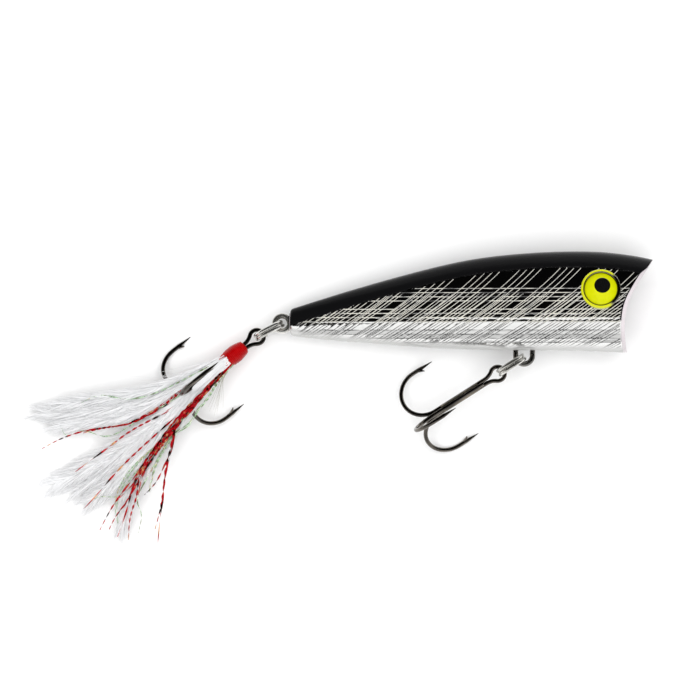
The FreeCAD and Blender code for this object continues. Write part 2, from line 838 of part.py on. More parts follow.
def build():
    fill_sheet()
    wires = body_wires()
    body_halves(list(wires.values()))
    eye(1, "right_eye")
    eye(-1, "left_eye")
    for label, wire in wires.items():
        seen = make("Part::Compound", f"{label}_placed", Links=[wire])
        node(seen, label, lie())
    ballast_and_balls()
    ring_places = {
        "belly": Vector(size("belly_ring_x"), size("belly_ring_y"), 0),
        "tail": Vector(size("tail_eye_x"), size("tail_eye_y"), 0),
    }
    for name, place in ring_places.items():
        ring = ring_placement(place, size(f"{name}_ring_angle"))
        coils = fixed_shape(f"{name}_ring_shape", split_ring_shape())
        node(coils, f"{name}_split_ring", lie().multiply(ring))
        placement = lie().multiply(hook_placement(name, ring))
        shapes = treble(name, placement)
    thread_wrap(shapes, placement)
    dressing(placement)
    doc.recompute()


def check():
    """Stop on any failed object or unsound piece."""
    for made in doc.Objects:
        if "Invalid" in made.State or "Error" in made.State:
            raise RuntimeError(f"{made.Label} failed: {made.State}")
    for label, made in nodes.items():
        if made.Shape.isNull() or not made.Shape.isValid():
            raise RuntimeError(f"{label} has no sound shape")
        print(f"{label}: {made.Shape.Volume:.2f} mm3, {len(made.Shape.Solids)} solid")


def export():
    os.makedirs("parts", exist_ok=True)
    for label, made in nodes.items():
        made.Shape.exportStep(f"parts/{label}.step")


build()
check()
export()
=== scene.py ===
import math

import bpy
import numpy as np
from mathutils import Matrix, Vector
from mathutils.bvhtree import BVHTree


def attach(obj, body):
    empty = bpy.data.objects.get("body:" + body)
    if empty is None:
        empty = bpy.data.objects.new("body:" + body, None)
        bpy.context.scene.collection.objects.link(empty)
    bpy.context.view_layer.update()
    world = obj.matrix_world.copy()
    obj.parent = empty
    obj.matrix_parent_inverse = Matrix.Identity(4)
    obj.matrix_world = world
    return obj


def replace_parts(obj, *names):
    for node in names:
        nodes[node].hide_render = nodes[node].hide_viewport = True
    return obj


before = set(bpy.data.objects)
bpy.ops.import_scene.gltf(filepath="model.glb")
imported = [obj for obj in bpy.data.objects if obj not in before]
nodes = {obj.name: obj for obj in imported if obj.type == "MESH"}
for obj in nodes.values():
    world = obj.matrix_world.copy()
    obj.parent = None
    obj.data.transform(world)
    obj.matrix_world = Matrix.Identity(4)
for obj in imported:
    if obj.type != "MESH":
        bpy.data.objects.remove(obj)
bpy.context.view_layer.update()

rng = np.random.default_rng(7)

MM = 0.001
TINY = 1e-9

# ---------------------------------------------------------------- the lure's own frame
# X from the tail face to the nose, Y from belly to back, Z to the lure's right, in millimetres.

LIE_PITCH = math.radians(4.3)
LIE_SHIFT = np.array([-8.5, 13.7, 3.75])
FLOOR_GAP = 0.00004
SOFT_LANDING = 0.0012


def rotation(axis, degrees):
    return np.array(Matrix.Rotation(math.radians(degrees), 3, Vector(axis)))


LIE_TURN = rotation((0, 1, 0), -math.degrees(LIE_PITCH))


def to_row(points):
    """Lure millimetres to row metres."""
    points = np.asarray(points, float)
    return (points @ LIE_TURN.T + LIE_SHIFT) * MM


# The tail treble's own frame: X along the shank away from the eye, Y across, Z up out of the dressing.
TAIL_EYE = np.array([-1.44, -0.2, 0.0])
TAIL_HOOK_EYE = np.array([-5.93, -2.6, 0.0])
TAIL_RING_ANGLE = 28.5
TAIL_HOOK_ANGLE = 38.6
TAIL_HOOK_ROLL = 2.3
TAIL_HOOK_SWING = -9.75
RING_RADIUS = 2.615
EYE_OUTSIDE = 1.63
SHANK_HEIGHT = 0.2175


def tail_frame():
    """Turn and shift that take the tail treble's frame to the lure's."""
    angle = math.radians(TAIL_HOOK_ANGLE)
    along = np.array([-math.cos(angle), -math.sin(angle), 0.0])
    flat = np.column_stack([along, np.cross([0, 0, 1], along), [0, 0, 1]])
    turn = flat @ rotation((1, 0, 0), TAIL_HOOK_ROLL)
    ring = math.radians(TAIL_RING_ANGLE)
    towards = np.array([math.cos(ring), math.sin(ring), 0.0])
    centre = TAIL_EYE - towards * RING_RADIUS
    swing = rotation(np.cross(towards, [0, 0, 1]), TAIL_HOOK_SWING)
    return swing @ turn, swing @ (TAIL_HOOK_EYE - centre) + centre


TAIL_TURN, TAIL_SHIFT = tail_frame()


def tail_to_row(points):
    """(along from the eye's outside, sideways, height) in millimetres to row metres, kept off the surface."""
    local = np.asarray(points, float) - np.array([EYE_OUTSIDE, 0.0, 0.0])
    row = to_row(local @ TAIL_TURN.T + TAIL_SHIFT)
    room = SOFT_LANDING - FLOOR_GAP
    low = np.minimum(row[:, 2], SOFT_LANDING)
    landed = FLOOR_GAP + room * np.exp((low - SOFT_LANDING) / room)
    row[:, 2] = np.where(row[:, 2] < SOFT_LANDING, landed, row[:, 2])
    return row


def spline(x, y):
    """A natural cubic through points, as a function."""
    x, y = np.asarray(x, float), np.asarray(y, float)
    n, h = len(x), np.diff(x)
    a, r = np.eye(n), np.zeros(n)
    for i in range(1, n - 1):
        a[i, i - 1 : i + 2] = h[i - 1], 2 * (h[i - 1] + h[i]), h[i]
        r[i] = 6 * ((y[i + 1] - y[i]) / h[i] - (y[i] - y[i - 1]) / h[i - 1])
    m = np.linalg.solve(a, r)

    def value(at):
        at = np.asarray(at, float)
        i = np.clip(np.searchsorted(x, at) - 1, 0, n - 2)
        low, high = x[i + 1] - at, at - x[i]
        return (
            (m[i] * low**3 + m[i + 1] * high**3) / (6 * h[i])
            + (y[i] / h[i] - m[i] * h[i] / 6) * low
            + (y[i + 1] / h[i] - m[i + 1] * h[i] / 6) * high
        )

    return value


def smoothstep(low, high, value):
    t = np.clip((np.asarray(value) - low) / (high - low), 0, 1)
    return t * t * (3 - 2 * t)


# ---------------------------------------------------------------- meshes


def mesh_piece(name, verts, faces, body, material, attributes=None):
    """A smooth mesh object that rides on a body."""
    mesh = bpy.data.meshes.new(name)
    mesh.from_pydata([tuple(v) for v in verts], [], [tuple(int(i) for i in f) for f in faces])
    for key, values in (attributes or {}).items():
        values = np.asarray(values, np.float32)
        if values.ndim == 2:
            layer = mesh.attributes.new(key, "FLOAT_VECTOR", "POINT")
            layer.data.foreach_set("vector", values.ravel())
        else:
            layer = mesh.attributes.new(key, "FLOAT", "POINT")
            layer.data.foreach_set("value", values)
    mesh.shade_smooth()
    mesh.update()
    made = bpy.data.objects.new(name, mesh)
    bpy.context.scene.collection.objects.link(made)
    made.data.materials.append(material)
    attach(made, body)
    return made


def grid_faces(rows, columns, closed=False, flip=False):
    """Quads over a grid of vertices, row by row."""
    i, j = np.meshgrid(np.arange(rows - 1), np.arange(columns if closed else columns - 1), indexing="ij")
    after = (j + 1) % columns
    quads = np.stack(
        [i * columns + j, (i + 1) * columns + j, (i + 1) * columns + after, i * columns + after], axis=-1
    ).reshape(-1, 4)
    return quads[:, ::-1] if flip else quads


# A direction that no strand runs along.
OFF_AXIS = (0.1, 0.2, 0.97)


class Strands:
    """Many ribbons and threads gathered into one mesh."""

    def __init__(self):
        self.verts, self.faces, self.along, self.tint, self.count = [], [], [], [], 0

    def add(self, verts, faces, along, tint):
        self.faces.append(np.asarray(faces) + self.count)
        self.verts.append(verts)
        self.along.append(along)
        self.tint.append(np.full(len(verts), tint))
        self.count += len(verts)

    def ribbon(self, path, widths, across, tint):
        """A flat tapered strip: its middle line, its full widths and its across direction at each point."""
        half = across * (np.asarray(widths)[:, None] / 2)
        verts = np.empty((2 * len(path), 3))
        verts[0::2], verts[1::2] = path - half, path + half
        along = np.repeat(np.linspace(0, 1, len(path)), 2)
        self.add(verts, grid_faces(len(path), 2), along, tint)

    def thread(self, path, radii, sides, tint):
        """A round tapered thread."""
        ahead = np.gradient(path, axis=0)
        ahead /= np.linalg.norm(ahead, axis=1)[:, None] + TINY
        first = np.cross(ahead, OFF_AXIS)
        first /= np.linalg.norm(first, axis=1)[:, None] + TINY
        second = np.cross(ahead, first)
        turn = np.linspace(0, 2 * math.pi, sides, endpoint=False)
        ring = first[:, None] * np.cos(turn)[None, :, None] + second[:, None] * np.sin(turn)[None, :, None]
        verts = (path[:, None] + ring * np.asarray(radii)[:, None, None]).reshape(-1, 3)
        along = np.repeat(np.linspace(0, 1, len(path)), sides)
        self.add(verts, grid_faces(len(path), sides, closed=True), along, tint)

    def piece(self, name, body, material):
        verts = tail_to_row(np.vstack(self.verts))
        attributes = {"along": np.concatenate(self.along), "tint": np.concatenate(self.tint)}
        return mesh_piece(name, verts, np.vstack(self.faces), body, material, attributes)


def curve_through(points, count):
    """Evenly spread points on a smooth curve through a few points."""
    points = np.asarray(points, float)
    run = np.concatenate([[0], np.cumsum(np.linalg.norm(np.diff(points, axis=0), axis=1))])
    at = np.linspace(0, run[-1], count)
    if len(points) == 2:
        return np.column_stack([np.interp(at, run, points[:, k]) for k in range(3)])
    return np.column_stack([spline(run, points[:, k])(at) for k in range(3)])


# ---------------------------------------------------------------- the engraved lines
# Each set: where the first line is, the period of the groups, the spacing in a group and how many.

LEVEL_LINES = (-7.12, 3.6, 0.72, 4)
SLANT_LINES = (0.2, 6.8, 1.2, 4)
CLOSE_LINES = (0.6, 5.3, 0.78, 5)
# The heights between which the level lines and the closer slanted lines fade out.
LEVEL_FADE = (6.2, 6.9)
CLOSE_FADE = (4.3, 5.3)
# A slanted line leans back as it drops from this height, and more the lower it is.
SLANT_TOP = 9.3
SLANT_LEAN = 0.93
SLANT_BEND = 0.035
# Line widths low on the flank and high on it, and a level line's share of them.
LINE_WIDTHS = (0.115, 0.085)
LEVEL_SHARE = 0.8
# The soft edge of a line, in widths from its middle.
LINE_EDGE = (0.55, 1.15)
# The heights between which the lines turn from painted shade, dark on the bright lower flank, to painted
# highlight, bright on the dark upper flank.
LINE_PAINTED_LIGHT_TURN = (-0.6, 0.5)
# Painted shade for the lines low on the flank, painted highlight for the lines high on it.
LINE_PAINTED_SHADE = (0.015, 0.015, 0.015, 1)
LINE_PAINTED_HIGHLIGHT = (0.64, 0.62, 0.55, 1)

# ---------------------------------------------------------------- materials


class Nodes:
    """Short ways to add nodes to a tree: each returns the new node's output."""

    def __init__(self, tree):
        self.tree = tree

    def put(self, value, socket):
        if isinstance(value, bpy.types.NodeSocket):
            self.tree.links.new(value, socket)
        else:
            socket.default_value = value

    def math(self, operation, *values):
        made = self.tree.nodes.new("ShaderNodeMath")
        made.operation = operation
        for index, value in enumerate(values):
            self.put(value, made.inputs[index])
        return made.outputs[0]

    def ramp(self, value, low, high, out_low=0.0, out_high=1.0):
        made = self.tree.nodes.new("ShaderNodeMapRange")
        made.interpolation_type = "SMOOTHSTEP"
        self.put(value, made.inputs["Value"])
        for key, number in (("From Min", low), ("From Max", high), ("To Min", out_low), ("To Max", out_high)):
            made.inputs[key].default_value = number
        return made.outputs[0]

    def mix(self, factor, first, second, colour=True):
        made = self.tree.nodes.new("ShaderNodeMix")
        made.data_type = "RGBA" if colour else "FLOAT"
        sockets, result = ((0, 6, 7), 2) if colour else ((0, 2, 3), 0)
        for socket, value in zip(sockets, (factor, first, second)):
            self.put(value, made.inputs[socket])
        return made.outputs[result]

    def split(self, vector):
        made = self.tree.nodes.new("ShaderNodeSeparateXYZ")
        self.put(vector, made.inputs[0])
        return made.outputs

    def attribute(self, name, kind="Fac"):
        made = self.tree.nodes.new("ShaderNodeAttribute")
        made.attribute_name = name
        return made.outputs[kind]

    def place(self, kind="Object"):
        return self.tree.nodes.new("ShaderNodeTexCoord").outputs[kind]

    def scaled(self, vector, x, y, z):
        made = self.tree.nodes.new("ShaderNodeMapping")
        self.put(vector, made.inputs["Vector"])
        made.inputs["Scale"].default_value = (x, y, z)
        return made.outputs[0]

    def noise(self, vector, scale, detail=3.0):
        made = self.tree.nodes.new("ShaderNodeTexNoise")
        self.put(vector, made.inputs["Vector"])
        made.inputs["Scale"].default_value = scale
        made.inputs["Detail"].default_value = detail
        return made.outputs["Fac"]


class Shader(Nodes):
    """A Principled material and the nodes that feed it."""

    def __init__(self, name, **values):
        self.material = bpy.data.materials.new(name)
        self.material.use_nodes = True
        super().__init__(self.material.node_tree)
        self.surface = self.tree.nodes["Principled BSDF"]
        for key, value in values.items():
            self.surface.inputs[key.replace("_", " ")].default_value = value

    def feed(self, name, value):
        self.put(value, self.surface.inputs[name])

    def bump(self, height, strength, distance):
        made = self.tree.nodes.new("ShaderNodeBump")
        made.inputs["Strength"].default_value = strength
        made.inputs["Distance"].default_value = distance
        self.put(height, made.inputs["Height"])
        self.feed("Normal", made.outputs[0])


def metal(name, dark, light, rough_low, rough_high, metallic=1.0):
    """Plated wire: colour and gloss drift along it, with a fine drawn grain."""
    made = Shader(name, Metallic=metallic)
    drift = made.noise(made.place(), 260.0, 4.0)
    made.feed("Base Color", made.mix(made.ramp(drift, 0.35, 0.65), dark, light))
    fine = made.noise(made.place(), 3600.0, 2.0)
    made.feed("Roughness", made.ramp(fine, 0.3, 0.7, rough_low, rough_high))
    made.bump(fine, 0.15, 0.00002)
    return made.material


def line_mask(made, coordinate, lines, width):
    """Groups of fine lines across one coordinate, 0 to 1."""
    first, period, spacing, count = lines
    within = made.math("FLOORED_MODULO", made.math("SUBTRACT", coordinate, first - spacing / 2), period)
    phase = made.math("FLOORED_MODULO", made.math("DIVIDE", within, spacing), 1.0)
    off = made.math("MULTIPLY", made.math("ABSOLUTE", made.math("SUBTRACT", phase, 0.5)), spacing)
    line = made.ramp(made.math("DIVIDE", off, width), *LINE_EDGE, 1.0, 0.0)
    return made.math("MULTIPLY", line, made.math("LESS_THAN", within, count * spacing))


def hatch(made, place, x, y):
    """The engraved lines on a flank, 0 to 1, worn thin in patches."""
    drop = made.math("MAXIMUM", made.math("SUBTRACT", SLANT_TOP, y), 0.0)
    bend = made.math("MULTIPLY", made.math("MULTIPLY", drop, drop), SLANT_BEND)
    slanted = made.math("ADD", x, made.math("ADD", made.math("MULTIPLY", drop, SLANT_LEAN), bend))
    width = made.ramp(y, 0.0, 8.0, *LINE_WIDTHS)
    thin = made.math("MULTIPLY", width, LEVEL_SHARE)
    level = line_mask(made, y, LEVEL_LINES, thin)
    level = made.math("MULTIPLY", level, made.ramp(y, *LEVEL_FADE, 1.0, 0.0))
    stretched = made.scaled(place, 0.35, 3.0, 1.0)
    broken = made.ramp(made.noise(stretched, 1.0, 2.0), 0.38, 0.6, 0.15, 1.0)
    level = made.math("MULTIPLY", level, broken)
    close = line_mask(made, slanted, CLOSE_LINES, width)
    close = made.math("MULTIPLY", close, made.ramp(y, *CLOSE_FADE, 1.0, 0.0))
    slant = made.math("MAXIMUM", line_mask(made, slanted, SLANT_LINES, width), close)
    patchy = made.ramp(made.noise(place, 1.1, 2.0), 0.32, 0.5, 0.55, 1.0)
    lines = made.math("MULTIPLY", made.math("MAXIMUM", level, slant), made.attribute("etched"))
    return made.math("MULTIPLY", lines, patchy)


def plating_material():
    """Bright plating with engraved lines, painted dark low on the flank and pale high on it as painted shade
    and highlight, under a soft-edged black back and over a duller belly.
    """
    made = Shader("plating")
    made.surface.inputs["Specular IOR Level"].default_value = 0.04
    place = made.attribute("lure", "Vector")
    x, y, _ = made.split(place)
    lines = hatch(made, place, x, y)
    blotch = made.math("MULTIPLY", made.math("SUBTRACT", made.noise(place, 2.6, 4.0), 0.5), 0.7)
    paint = made.ramp(made.math("ADD", made.attribute("paint"), blotch), 0.32, 0.62)
    wear = made.noise(place, 0.5, 3.0)
    silver = made.mix(wear, (0.8, 0.8, 0.79, 1), (0.9, 0.9, 0.89, 1))
    # Painted light: the lines' colour goes from painted shade low on the flank to painted highlight high on
    # it.
    line_painted_light = made.mix(made.ramp(y, *LINE_PAINTED_LIGHT_TURN), LINE_PAINTED_SHADE, LINE_PAINTED_HIGHLIGHT)
    etched = made.math("MULTIPLY", lines, made.ramp(paint, 0.0, 0.6, 1.0, 0.0))
    silver = made.mix(etched, silver, line_painted_light)
    belly = made.attribute("belly")
    silver = made.mix(made.math("MULTIPLY", belly, 0.85), silver, (0.6, 0.6, 0.59, 1))
    made.feed("Base Color", made.mix(paint, silver, (0.005, 0.005, 0.0055, 1)))
    # The black stays mirror-like until it is nearly opaque, so its soft edge has no pale line.
    matt = made.math("MAXIMUM", made.math("MULTIPLY", etched, 0.95), made.math("MULTIPLY", belly, 0.9))
    frosted = made.math("SUBTRACT", 1.0, matt)
    made.feed("Metallic", made.math("MULTIPLY", made.ramp(paint, 0.9, 1.0, 1.0, 0.0), frosted))
    bare = made.math("ADD", made.math("MULTIPLY", etched, 0.25), made.math("MULTIPLY", wear, 0.08))
    satin = made.ramp(made.noise(place, 9.0, 3.0), 0.3, 0.7, 0.17, 0.23)
    made.feed("Roughness", made.mix(paint, bare, satin, colour=False))
    made.bump(made.noise(place, 30.0, 2.0), 0.06, 0.00003)
    return made.material


def eye_ring_material():
    """Yellow paint over the moulded bead, bare plating at the front, and painted shade, near-black, in the
    groove.
    """
    made = Shader("eye_ring")
    made.surface.inputs["Coat Weight"].default_value = 0.6
    paint = made.attribute("paint")
    speck = made.noise(made.place(), 2400.0, 2.0)
    yellow = made.mix(speck, (0.6, 0.62, 0.0, 1), (0.7, 0.72, 0.005, 1))
    shown = made.mix(paint, (0.3, 0.29, 0.24, 1), yellow)
    # Painted shade: near-black in the groove between the bead and the dome.
    made.feed("Base Color", made.mix(made.attribute("painted_groove_shade"), shown, (0.004, 0.004, 0.003, 1)))
    made.feed("Metallic", made.math("SUBTRACT", 1.0, paint))
    made.feed("Roughness", made.ramp(speck, 0.3, 0.7, 0.14, 0.22))
    made.bump(speck, 0.08, 0.00003)
    return made.material


def eye_material():
    """The clear-coated yellow dome."""
    made = Shader("eye_yellow")
    made.surface.inputs["Coat Weight"].default_value = 1.0
    made.surface.inputs["Coat Roughness"].default_value = 0.04
    made.surface.inputs["Subsurface Weight"].default_value = 0.1
    made.surface.inputs["Subsurface Radius"].default_value = (0.0006, 0.0006, 0.0002)
    speck = made.noise(made.place(), 1300.0, 3.0)
    made.feed("Base Color", made.mix(speck, (0.62, 0.65, 0.0, 1), (0.72, 0.75, 0.0, 1)))
    made.feed("Roughness", made.ramp(speck, 0.3, 0.7, 0.16, 0.24))
    made.bump(speck, 0.05, 0.00003)
    return made.material


def pupil_material():
    """Gloss black."""
    made = Shader("pupil_black")
    made.surface.inputs["Coat Weight"].default_value = 1.0
    made.surface.inputs["Coat Roughness"].default_value = 0.03
    speck = made.noise(made.place(), 2600.0, 2.0)
    made.feed("Base Color", made.mix(speck, (0.002, 0.002, 0.002, 1), (0.008, 0.008, 0.008, 1)))
    made.feed("Roughness", made.ramp(speck, 0.3, 0.7, 0.1, 0.18))
    return made.material


def shell_material():
    """Pearly moulded plastic that shows at the rim and in the mouth."""
    made = Shader("pearl_shell")
    made.surface.inputs["Coat Weight"].default_value = 0.5
    made.surface.inputs["Coat Roughness"].default_value = 0.12
    cloud = made.noise(made.place(), 160.0, 3.0)
    made.feed("Base Color", made.mix(cloud, (0.66, 0.6, 0.63, 1), (0.74, 0.69, 0.71, 1)))
    fine = made.noise(made.place(), 3000.0, 2.0)
    made.feed("Roughness", made.ramp(fine, 0.3, 0.7, 0.24, 0.34))
    made.bump(fine, 0.06, 0.00003)
    return made.material


def thread_material():
    """Red thread under clear lacquer, with painted shade darkening the grooves between the turns."""
    made = Shader("red_thread")
    made.surface.inputs["Coat Weight"].default_value = 0.22
    made.surface.inputs["Coat Roughness"].default_value = 0.05
    made.surface.inputs["Specular IOR Level"].default_value = 0.1
    painted_groove_shade = made.attribute("tint")
    cloud = made.noise(made.place(), 900.0, 3.0)
    red = made.mix(cloud, (0.36, 0.0, 0.001, 1), (0.6, 0.002, 0.004, 1))
    # Painted shade: the grooves between the turns are mixed towards dark red.
    made.feed("Base Color", made.mix(painted_groove_shade, (0.1, 0.0, 0.0, 1), red))
    made.feed("Roughness", made.ramp(cloud, 0.3, 0.7, 0.22, 0.4))
    made.bump(made.noise(made.place(), 5200.0, 2.0), 0.2, 0.00003)
    return made.material


def feather_material(name, low, high):
    """Soft barbs: a shade for each strand, with a fine grain along it."""
    made = Shader(name)
    made.surface.inputs["Sheen Weight"].default_value = 0.25
    tint = made.attribute("tint")
    fine = made.noise(made.scaled(made.place(), 1.0, 1.0, 0.2), 1500.0, 3.0)
    shade = made.math("MULTIPLY", made.math("ADD", tint, fine), 0.5)
    made.feed("Base Color", made.mix(shade, low, high))
    made.feed("Roughness", made.ramp(fine, 0.3, 0.7, 0.5, 0.7))
    made.bump(fine, 0.2, 0.00002)
    return made.material


def tinsel_material(name, colours, metallic, low, high):
    """Twisted film: bands of colour along each strand, changing with the strand; in the red film the
    near-black and orange-gold bands are painted dark reflection and painted glint.
    """
    made = Shader(name, Metallic=metallic)
    tint, along = made.attribute("tint"), made.attribute("along")
    phase = made.math("ADD", made.math("MULTIPLY", along, 12.0), made.math("MULTIPLY", tint, 40.0))
    combine = made.tree.nodes.new("ShaderNodeCombineXYZ")
    made.put(phase, combine.inputs[0])
    made.put(made.math("MULTIPLY", tint, 17.0), combine.inputs[1])
    band = made.noise(combine.outputs[0], 0.9, 2.0)
    first, second, third = colours
    colour = made.mix(made.ramp(band, 0.42, 0.46), first, second)
    colour = made.mix(made.ramp(band, 0.58, 0.64), colour, third)
    made.feed("Base Color", colour)
    fine = made.noise(made.place(), 4000.0, 2.0)
    made.feed("Roughness", made.ramp(fine, 0.3, 0.7, low, high))
    made.bump(fine, 0.1, 0.00002)
    return made.material


def floor_material():
    """Plain pale paper."""
    made = Shader("floor_paper", Roughness=0.9)
    fine = made.noise(made.place(), 900.0, 3.0)
    made.feed("Base Color", made.mix(fine, (0.93, 0.93, 0.93, 1), (0.95, 0.95, 0.95, 1)))
    return made.material


# ---------------------------------------------------------------- the body's skin

# Along the body: X, the back's height, the belly's height and half the width.
STATIONS = np.array(
    [
        (0.0, 2.25, -2.3, 2.2),
        (6.0, 4.15, -3.0, 3.3),
        (14.0, 6.55, -3.65, 4.5),
        (23.0, 9.0, -4.35, 5.45),
        (32.0, 11.0, -4.78, 6.15),
        (41.0, 12.05, -4.9, 6.7),
        (50.0, 12.42, -4.97, 7.0),
        (58.0, 12.0, -5.3, 7.1),
        (67.0, 10.1, -5.75, 7.0),
    ]
)
back_height, belly_height, half_width = (spline(STATIONS[:, 0], STATIONS[:, k]) for k in (1, 2, 3))
RIM = np.array(
    [
        (60.3, -8.5),
        (59.5, -5.4),
        (59.1, -1.7),
        (59.2, 1.0),
        (59.75, 3.5),
        (60.95, 6.0),
        (63.4, 9.9),
        (65.4, 13.0),
    ]
)
rim_x = spline(RIM[:, 1], RIM[:, 0])

# The skin's thickness over the moulded shell, and its mesh.
SKIN = 0.05
SKIN_ROWS, SKIN_COLUMNS, FACE_ROWS = 431, 161, 14
FACE_INNER = 0.3
TAIL_ROUND = 0.8
FIRST_FITTED = 0.12
CAST_FROM = 1.5
# The bare band at the mouth's rim, and the heights between which it narrows away at the lip.
RIM_GUESS, RIM_STEPS = 60.0, 30
RIM_GAP, RIM_BAND = 0.04, 0.6
LIP_FADE = (8.2, 9.6)
# Where the hatch fades in: round from the middle plane, along from the tail, back from the rim
# and down from the back.
HATCH_ROUND = (0.25, 0.6)
HATCH_TAIL = (1.2, 2.2)
HATCH_RIM = (-0.35, -0.1)
HATCH_DEPTH = (2.3, 3.1)
LINE_HALF_WIDTH = 0.19
RIDGE = 0.035
# How far down the black back reaches, its soft edge, the duller belly's edge, and the weld line.
PAINT_EDGE = (2.0, 3.8)
BELLY_EDGE = (0.15, 1.5)
SEAM_WIDTH, SEAM_DEPTH = 0.12, 0.008

EYE_PLACE = np.array([54.95, 5.75, 6.83])
EYE_TILT = 12.7
EYE_HOLE = 3.15
EYE_CLEAR = 3.75


def to_eye(points, side):
    """Lure millimetres to an eye's own frame, whose Z points out of the flank on the right."""
    return (points - EYE_PLACE * np.array([1, 1, side])) @ rotation((1, 0, 0), side * EYE_TILT).T


def from_eye(points, side):
    """An eye's own frame to lure millimetres."""
    return points @ rotation((1, 0, 0), -side * EYE_TILT).T + EYE_PLACE * np.array([1, 1, side])


def line_set(coordinate, lines):
    """Height, 0 to 1, of groups of raised lines measured across one coordinate."""
    first, period, spacing, count = lines
    within = np.mod(coordinate - first + spacing / 2, period)
    off = np.abs(np.mod(within / spacing, 1.0) - 0.5) * spacing
    return np.where(within < count * spacing, 1 - smoothstep(0.0, LINE_HALF_WIDTH, off), 0.0)


def cad_surface(label):
    """A CAD node's mesh, ready for casting rays at."""
    mesh = nodes[label].data
    corners = [vertex.co.copy() for vertex in mesh.vertices]
    return BVHTree.FromPolygons(corners, [tuple(polygon.vertices) for polygon in mesh.polygons])


def settle(points, out, tree, side):
    """Move each skin point along its outward direction to stand off the moulded flank."""
    row, aim = to_row(points), out @ LIE_TURN.T
    correction = np.zeros(len(row))
    for k, (place, ray) in enumerate(zip(row, aim)):
        start = Vector(place + ray * CAST_FROM * MM)
        hit = tree.ray_cast(start, Vector(-ray), 2 * CAST_FROM * MM)[3]
        if hit is not None:
            correction[k] = CAST_FROM - hit / MM
    local = to_eye(points, side)
    clear = np.hypot(local[:, 0], local[:, 1]) > EYE_CLEAR
    return np.where(clear & (np.abs(correction) < TAIL_ROUND), correction, 0.0)


def rim_end(phi):
    """Where each line along the flank meets the bare band at the mouth's rim."""
    end = np.full(len(phi), RIM_GUESS)
    for _ in range(RIM_STEPS):
        middle = (back_height(end) + belly_height(end)) / 2
        height = middle + (back_height(end) - belly_height(end)) / 2 * np.cos(phi)
        end = rim_x(height) - RIM_GAP - RIM_BAND * (1 - smoothstep(*LIP_FADE, height))
    return end


def plating(side, name):
    """One flank's plated skin: fine enough for its engraved lines, open under the eye."""
    phi = np.linspace(0, math.pi, SKIN_COLUMNS)
    end = rim_end(phi)
    x = np.linspace(0, 1, SKIN_ROWS)[:, None] * end[None, :]
    within = np.clip(TAIL_ROUND - x, 0, None)
    rounding = TAIL_ROUND - np.sqrt(np.clip(TAIL_ROUND**2 - within**2, 0, None))
    middle = (back_height(x) + belly_height(x)) / 2
    tall = (back_height(x) - belly_height(x)) / 2 - rounding
    wide = half_width(x) - rounding
    across, up = np.sin(phi)[None, :], np.cos(phi)[None, :]
    y, z = middle + tall * up, wide * across

    depth = back_height(x) - y
    drop = np.clip(SLANT_TOP - y, 0, None)
    slanted = x + SLANT_LEAN * drop + SLANT_BEND * drop**2
    before_rim = 1 - smoothstep(*HATCH_RIM, x - end[None, :])
    flank = smoothstep(*HATCH_ROUND, across) * smoothstep(*HATCH_TAIL, x) * before_rim
    etched = flank * smoothstep(*HATCH_DEPTH, depth)
    belly = 1 - smoothstep(*BELLY_EDGE, y - belly_height(x))
    paint = 1 - smoothstep(*PAINT_EDGE, depth)
    engraved = np.maximum(line_set(y, LEVEL_LINES), line_set(slanted, SLANT_LINES)) * etched
    seam = (1 - smoothstep(0.0, SEAM_WIDTH, z)) * SEAM_DEPTH

    moulded = np.stack([x, y, side * z], axis=-1)
    outward = np.stack([0 * x, up / tall, side * across / wide], axis=-1)
    outward /= np.linalg.norm(outward, axis=-1)[..., None]
    tree = cad_surface(f"{name.split('_')[0]}_body_half")
    rows = x[:, 0] > FIRST_FITTED
    fitted = np.zeros(x.shape)
    fit = settle(moulded[rows].reshape(-1, 3), outward[rows].reshape(-1, 3), tree, side)
    fitted[rows] = fit.reshape(-1, SKIN_COLUMNS)
    fitted[~rows] = fitted[rows][0]
    points = moulded + outward * (SKIN + fitted + engraved * RIDGE - seam)[..., None]

    shrink = np.linspace(1.0, FACE_INNER, FACE_ROWS)[:-1][::-1]
    centre = np.array([-SKIN, (back_height(0) + belly_height(0)) / 2, 0.0])
    face = centre + (points[0][None] - centre) * np.array([0, 1, 1]) * shrink[:, None, None]
    points, lure = np.vstack([face, points]), np.vstack([face, moulded])
    paint = np.vstack([np.repeat(paint[:1], len(shrink), axis=0), paint])
    belly = np.vstack([np.repeat(belly[:1], len(shrink), axis=0), belly])
    etched = np.vstack([np.zeros((len(shrink), SKIN_COLUMNS)), etched])

    flat = points.reshape(-1, 3)
    faces = grid_faces(len(points), SKIN_COLUMNS, flip=side > 0)
    local = to_eye(flat, side)
    near = np.hypot(local[:, 0], local[:, 1]) < EYE_HOLE
    faces = faces[~near[faces].any(axis=1)]
    used = np.unique(faces)
    renumber = np.full(len(flat), -1)
    renumber[used] = np.arange(len(used))
    attributes = {"lure": lure.reshape(-1, 3)[used]}
    for key, values in (("paint", paint), ("etched", etched), ("belly", belly)):
        attributes[key] = values.ravel()[used]
    verts, quads = to_row(flat[used]), renumber[faces]
    mesh_piece(name, verts, quads, "lure_body", plating_skin, attributes)


